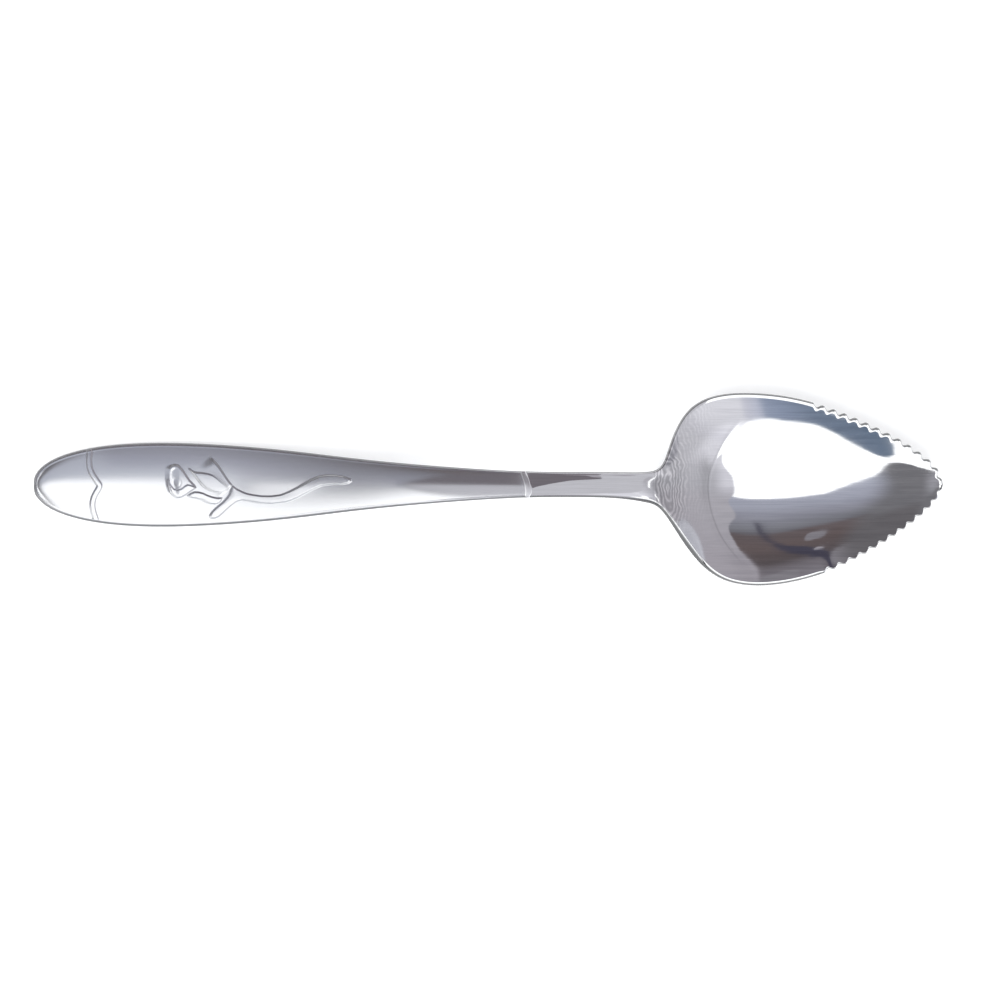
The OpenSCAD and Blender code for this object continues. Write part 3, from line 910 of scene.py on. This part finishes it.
def swirls_and_sheen_group():
    """Uneven rings round the bowl's heel, where the polishing wheel turned: masks for their bump, for their
    painted light rings, and for the painted shade in the furrows between them.
    """
    group, n, given, result = node_group("heel_swirls_and_sheen", (("Spacing", SWIRL_SPACING),), ("Swirls_and_sheen", "Furrow_shade"))
    place = n.place()
    x, y, _ = n.split(place)
    along = n.minus(x, HEEL_X + SWIRL_PLACE[0])
    across = n.times(n.minus(y, MIDDLE_Y + SWIRL_PLACE[1]), SWIRL_FLATNESS)
    reach = n.math("SQRT", n.plus(n.times(along, along), n.times(across, across)))
    wander = n.minus(n.noise(place, WANDER_SCALE, 3, 0.55), 0.5)
    bent = n.plus(reach, n.times(wander, SWIRL_WANDER))
    wave = n.plus(n.times(n.math("SINE", n.times(n.over(bent, given["Spacing"]), 2 * math.pi)), 0.5), 0.5)
    flecks = n.step(n.noise(place, FLECK_SCALE, 2), 0.35, 0.6, 0.15, 1.0)
    normal = n.split(n.add("ShaderNodeNewGeometry").outputs["True Normal"])
    fade = n.times(
        n.step(x, *SWIRL_START), n.step(x, *SWIRL_END, 1.0, 0.0), n.step(y, *SWIRL_SIDE, 0.15, 1.0),
        n.step(reach, *SWIRL_REACH, 1.0, 0.4), n.step(normal[2], *FACE_NORMAL),
    )
    n.join(n.times(n.math("POWER", wave, 2.5), flecks, fade), result["Swirls_and_sheen"])
    furrow_shade_mask = n.times(fade, n.step(reach, *FURROW_REACH, 0.6, 0.15))
    n.join(n.times(n.minus(1.0, wave), furrow_shade_mask), result["Furrow_shade"])
    return group


LINES = brushed_lines_group()
SWIRLS_AND_SHEEN = swirls_and_sheen_group()

# Colours of the painted shade in streaks on the bowl's floor, which stand in for streaky reflections, and of
# the painted shade in the furrows between the swirls
STREAK_SHADE_COLOR = (0.42, 0.43, 0.46, 1)
FURROW_SHADE_COLOR = (0.4, 0.4, 0.41, 1)
WHITE = (1, 1, 1, 1)
# The streaks come in between these places, and are this much coarser than the lines
STREAK_START = (HEEL_X + 10 * MM, HEEL_X + 16 * MM)
STREAK_ACROSS = 0.28
STREAK_ALONG = 0.3
# How much rougher the cut edge is
CUT_ROUGHNESS = 0.12


def steel(name, color, lines, roughness, dull=1.0, cut=0.3, spread=0.0, bump=0.3, depth=0.004, swirled=False):
    """Stainless steel with a darker cut edge, partly the sheared edge's own colour and partly painted shade,
    and with the painted shade of the relief and the crease. lines is the scale of its fine lines across and
    along.
    """
    material = bpy.data.materials.new(name)
    material.use_nodes = True
    shader = material.node_tree.nodes["Principled BSDF"]
    shader.inputs["Metallic"].default_value = 1
    n = Nodes(material.node_tree)
    across, along = lines
    brushed = n.group(LINES, Across=across, Along=along)
    tone = n.step(brushed["Lines"], 0.3, 0.7)
    surface_color = n.mix(tone, (*(c * dull for c in color), 1), (*color, 1))
    height = brushed["Lines"]
    if swirled:
        streaks = n.group(LINES, Across=across * STREAK_ACROSS, Along=along * STREAK_ALONG)["Lines"]
        on_floor = n.step(n.split(n.place())[0], *STREAK_START, 0.0, 3.0)
        height = n.plus(height, n.times(streaks, on_floor))
        # Painted shade in streaks on the floor, standing in for streaky reflections; the same streaks are
        # also a bump
        streak_shade = n.times(n.step(streaks, 0.42, 0.62), n.times(on_floor, 0.08))
        surface_color = n.mix(streak_shade, surface_color, STREAK_SHADE_COLOR)
        # Painted reflection: light rings round the heel, with painted shade in the furrows between them; the
        # rings are also a bump
        swirls = n.group(SWIRLS_AND_SHEEN)
        surface_color = n.mix(swirls["Furrow_shade"], surface_color, FURROW_SHADE_COLOR)
        surface_color = n.mix(swirls["Swirls_and_sheen"], surface_color, WHITE)
        height = n.plus(height, n.times(swirls["Swirls_and_sheen"], 2.0))
    # This mask darkens the colour towards cut times it: the sheared edge's own darker colour, and painted
    # shade of the cut wall, the relief's flanks and the crease
    edge = n.add("ShaderNodeAttribute", attribute_name="sheared_edge_and_shade").outputs["Fac"]
    n.join(n.mix(edge, surface_color, (*(c * cut for c in color), 1)), shader.inputs["Base Color"])
    rough = n.step(brushed["Patches"], 0.35, 0.65, roughness, roughness + spread)
    n.join(n.plus(rough, n.times(edge, CUT_ROUGHNESS)), shader.inputs["Roughness"])
    # The rim's flat land faces straight up
    facing = n.add("ShaderNodeMix", data_type="VECTOR")
    n.join(n.add("ShaderNodeAttribute", attribute_name="land").outputs["Fac"], facing.inputs[0])
    n.join(n.add("ShaderNodeNewGeometry").outputs["Normal"], facing.inputs[4])
    facing.inputs[5].default_value = (0, 0, 1)
    bumped = n.add("ShaderNodeBump")
    bumped.inputs["Strength"].default_value = bump
    bumped.inputs["Distance"].default_value = depth * MM
    n.join(height, bumped.inputs["Height"])
    n.join(n.vector("NORMALIZE", facing.outputs[1])[0], bumped.inputs["Normal"])
    n.join(bumped.outputs[0], shader.inputs["Normal"])
    return material


SATIN = steel("satin_steel", (0.72, 0.73, 0.75), (2500, 40), 0.265, dull=0.98)
POLISHED = steel("polished_steel", (0.8, 0.81, 0.825), (4200, 110), 0.05, dull=0.93, cut=0.18, spread=0.04,
                 bump=0.5, depth=0.003, swirled=True)
RIDGE = steel("ridge_steel", (0.86, 0.87, 0.88), (2500, 40), 0.4, bump=0.1)
for piece, finish in ((handle, SATIN), (bowl, POLISHED), (collar, RIDGE)):
    piece.data.materials.append(finish)

# Camera straight above, and the photograph's framing: what it looks at, and the width that it sees there
CAMERA_HEIGHT = 0.62
VIEW_PLACE = (2.62 * MM, -2.78 * MM)
VIEW_WIDTH = 175 * MM
SENSOR_WIDTH = 36
camera_data = bpy.data.cameras.new("camera")
camera = bpy.data.objects.new("camera", camera_data)
bpy.context.collection.objects.link(camera)
camera_data.sensor_width = SENSOR_WIDTH
camera_data.lens = SENSOR_WIDTH * (CAMERA_HEIGHT - RIM_HEIGHT) / VIEW_WIDTH
camera.location = (VIEW_PLACE[0], MIDDLE_Y + VIEW_PLACE[1], CAMERA_HEIGHT)
bpy.context.scene.camera = camera

BLACK = (0, 0, 0, 1)
FLOOR_SIZE = 6
FLOOR_COLOR = (0.6, 0.6, 0.605, 1)
FLOOR_GLOW = (0.46, 0.46, 0.46, 1)
# How bright the floor is where the steel mirrors it
FLOOR_MIRRORED = 0.75
# Distances over which the floor's colour and its glow turn to plain white
COLOR_FADE = (0.5, 1.2)
GLOW_FADE = (0.25, 0.8)


def stage_material(name, build):
    material = bpy.data.materials.new(name)
    material.use_nodes = True
    tree = material.node_tree
    tree.nodes.clear()
    n = Nodes(tree)
    n.join(build(n), n.add("ShaderNodeOutputMaterial").inputs["Surface"])
    return material


def seen(n, mirrored=1.0):
    """One for camera and transmitted rays, the given share for glossy rays, else zero."""
    path = n.add("ShaderNodeLightPath").outputs
    glossy = n.times(path["Is Glossy Ray"], mirrored)
    return n.math("MAXIMUM", n.math("MAXIMUM", path["Is Camera Ray"], glossy), path["Is Transmission Ray"])


def floor_surface(n):
    """A pale matt floor that shows white, with the spoon's shadow kept, and plain white far out."""
    distance = n.vector("LENGTH", n.place())["Value"]
    matt = n.add("ShaderNodeBsdfDiffuse")
    n.join(n.mix(n.step(distance, *COLOR_FADE), FLOOR_COLOR, BLACK), matt.inputs["Color"])
    white = n.mix(n.step(distance, *GLOW_FADE), FLOOR_GLOW, WHITE)
    both = n.add("ShaderNodeAddShader")
    n.join(matt.outputs[0], both.inputs[0])
    n.join(n.glow(white, seen(n, FLOOR_MIRRORED)), both.inputs[1])
    return both.outputs[0]


deselect_all()
bpy.ops.mesh.primitive_plane_add(size=FLOOR_SIZE)
floor = bpy.context.object
floor.name = "floor"
floor.data.materials.append(stage_material("floor_white", floor_surface))

# The steel mirrors a dome. Its picture is laid flat, with straight up at 0 and the horizon at 1.
# Edges of the soft box in it, along x or y: place, and how far the box reaches there
FAR_EDGE = (
    (-0.68, -0.2), (-0.6, -0.25), (-0.52, -0.32), (-0.47, -0.42), (-0.42, -0.475), (-0.37, -0.49),
    (-0.325, -0.475), (-0.29, -0.41), (-0.262, -0.29), (-0.242, -0.18), (-0.215, -0.09), (-0.185, 0),
    (-0.155, 0.055), (-0.12, 0.095), (0.04, 0.115), (0.12, 0.11), (0.2, 0.1),
)
NEAR_EDGE = (
    (-0.41, -1), (-0.385, -0.9), (-0.365, -0.76), (-0.345, -0.63), (-0.315, -0.54), (-0.28, -0.52),
    (-0.25, -0.61), (-0.22, -0.7), (-0.16, -0.74), (-0.04, -0.7), (0.03, -0.67), (0.1, -0.6),
)
RIGHT_EDGE = (
    (-0.82, 0.1), (-0.7, 0.09), (-0.62, 0.08), (-0.56, 0.11), (-0.43, 0.19), (-0.3, 0.27), (-0.19, 0.28),
    (-0.1, 0.2), (-0.05, 0.17), (0.08, 0.165), (0.15, 0.23), (0.22, 0.19), (0.28, 0.18), (0.36, 0.27),
    (0.45, 0.235), (0.55, 0.16), (0.65, 0.085), (0.77, 0.07),
)
# Strength of the soft box
SOFT_BOX = 1.7
# Where the right wall turns from light to darker
WALL_FOLD = ((-0.3, 0.52), (-0.05, 0.49), (0.21, 0.47), (0.44, 0.35), (0.54, 0.21), (0.71, 0.09))
# Light things beyond the far side: middle, half size and tone
FAR_PATCHES = (
    (-0.125, 0.49, 0.045, 0.035, 0.29), (-0.28, 0.7, 0.075, 0.075, 0.29), (-0.02, 0.79, 0.09, 0.06, 0.28),
    (-0.155, 0.61, 0.018, 0.009, 0.5),
)
# Thin dark curve beyond the far side, and its colour
FAR_CURVE = (
    (0.26, 0.07), (0.32, 0.062), (0.4, 0.052), (0.47, 0.03), (0.53, -0.01), (0.56, -0.05), (0.6, -0.095),
    (0.64, -0.15), (0.69, -0.205), (0.82, -0.27),
)
CURVE_COLOR = (0.075, 0.07, 0.1, 1)
# Tones of the far wall, from the soft box out to the horizon
FAR_TONES = (
    (0.0, (0.55, 0.57, 0.67)), (0.2, (0.5, 0.51, 0.6)), (0.28, (0.44, 0.45, 0.53)),
    (0.36, (0.35, 0.35, 0.41)), (0.46, (0.25, 0.25, 0.28)), (0.495, (0.2, 0.195, 0.22)),
    (0.515, (0.16, 0.13, 0.135)), (0.62, (0.155, 0.12, 0.12)), (0.74, (0.12, 0.1, 0.105)),
    (0.8, (0.2, 0.18, 0.2)), (0.92, (0.28, 0.26, 0.29)),
)
# The dark corner beyond the handle, and the lighter strip past it
CORNER_TONES = ((0.0, (0.225, 0.22, 0.235)), (0.4, (0.21, 0.205, 0.22)), (0.5, (0.165, 0.155, 0.165)))
STRIP_TONES = (
    (0.1, (0.47, 0.46, 0.5)), (0.35, (0.44, 0.43, 0.47)), (0.55, (0.38, 0.38, 0.41)),
    (0.85, (0.3, 0.29, 0.32)),
)
# The cool wall under the soft box
COOL_TONES = (
    (0.0, (0.19, 0.24, 0.33)), (0.12, (0.16, 0.21, 0.29)), (0.3, (0.2, 0.25, 0.34)), (0.38, (0.25, 0.3, 0.4)),
    (0.48, (0.31, 0.36, 0.48)), (0.522, (0.35, 0.4, 0.52)), (0.538, (0.64, 0.66, 0.77)),
    (0.57, (0.68, 0.68, 0.77)), (0.62, (0.84, 0.83, 0.89)),
)
# The light wall beyond the tip
LIGHT_TONES = (
    (0.0, (0.9, 0.9, 0.95)), (0.1, (0.88, 0.87, 0.92)), (0.185, (0.84, 0.83, 0.88)),
    (0.225, (0.79, 0.78, 0.83)), (0.275, (0.68, 0.67, 0.72)), (0.325, (0.63, 0.62, 0.66)),
    (0.375, (0.61, 0.6, 0.64)), (0.45, (0.57, 0.56, 0.6)), (0.5, (0.53, 0.52, 0.56)),
    (0.575, (0.51, 0.49, 0.53)), (0.65, (0.49, 0.47, 0.51)), (0.8, (0.45, 0.42, 0.46)),
)


def edge_value(n, value, rows):
    """A smooth edge line through the rows, as a value."""
    low, high = rows[0][0], rows[-1][0]
    share = n.over(n.minus(value, low), high - low)
    stops = [((a - low) / (high - low), ((b + 1) / 2,) * 3) for a, b in rows]
    return n.math("MULTIPLY_ADD", n.ramp(share, stops, "CARDINAL"), 2.0, -1.0)


def far_wall(n, x, y):
    """Grey wall on the far side, with a thin dark curve that grows wider outwards and a few light things."""
    tone = n.ramp(n.plus(y, 0.1), FAR_TONES)
    aside = n.math("ABSOLUTE", n.minus(x, edge_value(n, y, FAR_CURVE)))
    width = n.step(y, 0.48, 0.6, 0.008, 0.05)
    on_curve = n.step(n.over(aside, width), 0.6, 1.2, 1.0, 0.0)
    ends = n.times(n.step(y, 0.29, 0.33), n.step(y, 0.72, 0.82, 1.0, 0.0))
    tone = n.mix(n.times(on_curve, ends), tone, CURVE_COLOR)
    for middle_x, middle_y, half_x, half_y, light in FAR_PATCHES:
        offsets = (n.over(n.minus(x, middle_x), half_x), n.over(n.minus(y, middle_y), half_y))
        size = n.plus(*(n.math("POWER", n.math("ABSOLUTE", offset), 3) for offset in offsets))
        tone = n.mix(n.step(size, 0.7, 1.2, 1.0, 0.0), tone, (light, light * 0.94, light * 1.03, 1))
    tone = n.mix(n.step(x, -0.29, -0.21, 1.0, 0.0), tone, n.ramp(y, CORNER_TONES))
    return n.mix(n.step(x, -0.58, -0.44, 1.0, 0.0), tone, n.ramp(n.plus(y, 0.4), STRIP_TONES))


def light_wall(n, x, y):
    """Light wall beyond the tip: light falls off along it, and it folds away from the light."""
    reach = n.minus(n.minus(x, 0.42), n.times(n.plus(y, 0.35), 1.6))
    high = n.times(n.step(reach, 0.0, 0.24, 0.34, 0.0), n.step(y, -0.8, -0.5, 0.3, 1.0),
                   n.step(y, -0.3, -0.12, 1.0, 0.0))
    low = n.times(n.step(x, 0.22, 0.46, 0.5, 0.0), n.step(y, -0.3, -0.15), n.step(y, 0.0, 0.15, 1.0, 0.0))
    beyond = n.minus(x, edge_value(n, y, WALL_FOLD))
    fold = n.minus(n.step(beyond, -0.015, 0.015), n.step(beyond, 0.03, 0.22, 0.0, 0.9))
    fold = n.times(fold, n.step(y, 0.05, 0.3, 0.22, 0.09), n.step(y, -0.35, -0.1))
    scaled = n.add("ShaderNodeVectorMath", operation="SCALE")
    n.join(n.ramp(n.plus(n.times(y, 0.5), 0.5), LIGHT_TONES), scaled.inputs[0])
    n.join(n.minus(n.plus(n.plus(high, low), 1.0), fold), scaled.inputs["Scale"])
    return scaled.outputs[0]


def studio_surface(n):
    """What the steel mirrors: a white soft box behind the near side, and plain grey walls."""
    direction = n.split(n.vector("NORMALIZE", n.place())[0])
    up = n.plus(direction[2], 1.0)
    x = n.over(direction[0], up)
    y = n.over(direction[1], up)
    tone = far_wall(n, x, y)
    boxed = n.step(n.minus(y, edge_value(n, x, FAR_EDGE)), -0.008, 0.012, 1.0, 0.0)
    tone = n.mix(boxed, tone, (SOFT_BOX, SOFT_BOX, SOFT_BOX, 1))
    cool = n.step(n.minus(y, edge_value(n, x, NEAR_EDGE)), -0.015, 0.01, 1.0, 0.0)
    tone = n.mix(cool, tone, n.ramp(n.plus(x, 0.5), COOL_TONES))
    right = n.step(n.minus(x, edge_value(n, y, RIGHT_EDGE)), -0.015, 0.015)
    return n.glow(n.mix(right, tone, light_wall(n, x, y)))


def stage_mirrored(piece):
    """Hides a piece from camera, diffuse, shadow and transmitted rays, so that only mirrored rays see it."""
    for rays in ("camera", "diffuse", "shadow", "transmission"):
        setattr(piece, "visible_" + rays, False)


deselect_all()
bpy.ops.mesh.primitive_uv_sphere_add(segments=64, ring_count=32, radius=2.6)
walls = bpy.context.object
walls.name = "studio_walls"
bpy.ops.object.mode_set(mode="EDIT")
bpy.ops.mesh.select_all(action="SELECT")
bpy.ops.mesh.bisect(plane_co=(0, 0, -0.01), plane_no=(0, 0, 1), clear_inner=True)
bpy.ops.object.mode_set(mode="OBJECT")
walls.data.materials.append(stage_material("studio_grey", studio_surface))
stage_mirrored(walls)

# Flat cards over the spoon, seen in the steel only: name, colour, and corners in millimetres
CARD_HEIGHT = 22 * MM
CARDS = (
    # Over the neck, which keeps the soft box out of it
    ("grey_card", (0.64, 0.63, 0.67), (
        (-20, -1), (-13, -11), (-7, -18), (24, -18), (30, -14), (38, -4), (38, 8), (40.5, 22), (28.5, 22),
        (27.5, 14), (26.5, 9.2), (17.9, 5.2), (12.7, 0.8), (9.4, -2.5), (8.3, -4.5), (7.6, 2), (7.3, 9),
        (7.3, 18), (6.1, 18), (6.1, 9), (6.3, 2), (6.3, -1), (-20, 0.6),
    )),
    # On both sides of the collar
    ("dark_card", (0.2, 0.18, 0.2), (
        (8.3, -4.5), (9.4, -2.5), (12.7, 0.8), (17.9, 5.2), (26.5, 9.2), (24, 18), (7.3, 18), (7.3, 9),
        (7.6, 2),
    )),
    ("dark_card_left", (0.2, 0.18, 0.2), ((-20, 0.6), (6.3, -1), (6.3, 2), (6.1, 9), (6.1, 18), (-5, 18))),
    # Over the handle's end, and over its stem
    ("pale_card", (0.6, 0.62, 0.7), (
        (-92, 5), (-70, 2.6), (-56, 2.6), (-53, 9), (-70, 9.5), (-74, 20), (-92, 20),
    )),
    ("white_card", (1.2, 1.2, 1.22), ((-49.5, -5), (-39.5, -5), (-39, 0.3), (-49.5, 1))),
    # Small one that the heel mirrors
    ("glint_card", (1.4, 1.4, 1.4), (
        (41.2, -1.8), (43, -2), (43.4, 0.2), (42.6, 3), (41, 3.6), (40.6, 3.2), (41.1, 2.2), (41.5, 0.3),
    )),
)


def make_card(name, color, corners):
    deselect_all()
    bpy.ops.mesh.primitive_circle_add(vertices=len(corners), fill_type="NGON")
    card = bpy.context.object
    card.name = name
    for vertex, (x, y) in zip(card.data.vertices, corners):
        vertex.co = (x * MM, MIDDLE_Y + y * MM, CARD_HEIGHT)
    card.data.materials.append(stage_material(name, lambda n: n.glow((*color, 1))))
    stage_mirrored(card)


for card_name, card_color, card_corners in CARDS:
    make_card(card_name, card_color, card_corners)

LAMP_WIDTH = 1.2


def soft_lamp(name, place, power):
    """A square lamp that looks at the spoon. The steel mirrors the dome, not the lamps."""
    data = bpy.data.lights.new(name, "AREA")
    data.shape = "SQUARE"
    data.size = LAMP_WIDTH
    data.energy = power
    lamp = bpy.data.objects.new(name, data)
    bpy.context.collection.objects.link(lamp)
    lamp.location = place
    lamp.rotation_euler = (-Vector(place)).to_track_quat("-Z", "Y").to_euler()
    lamp.visible_glossy = False


soft_lamp("soft_box", (-0.3, -0.7, 1.3), 32)
soft_lamp("fill", (0.7, 0.9, 1.2), 8)

STUDIO_GREY = (0.55, 0.56, 0.58, 1)
world = bpy.data.worlds.new("studio")
bpy.context.scene.world = world
world.use_nodes = True
n = Nodes(world.node_tree)
background = world.node_tree.nodes["Background"]
n.join(n.mix(seen(n), STUDIO_GREY, WHITE), background.inputs["Color"])
bpy.context.scene.view_settings.view_transform = "Standard"
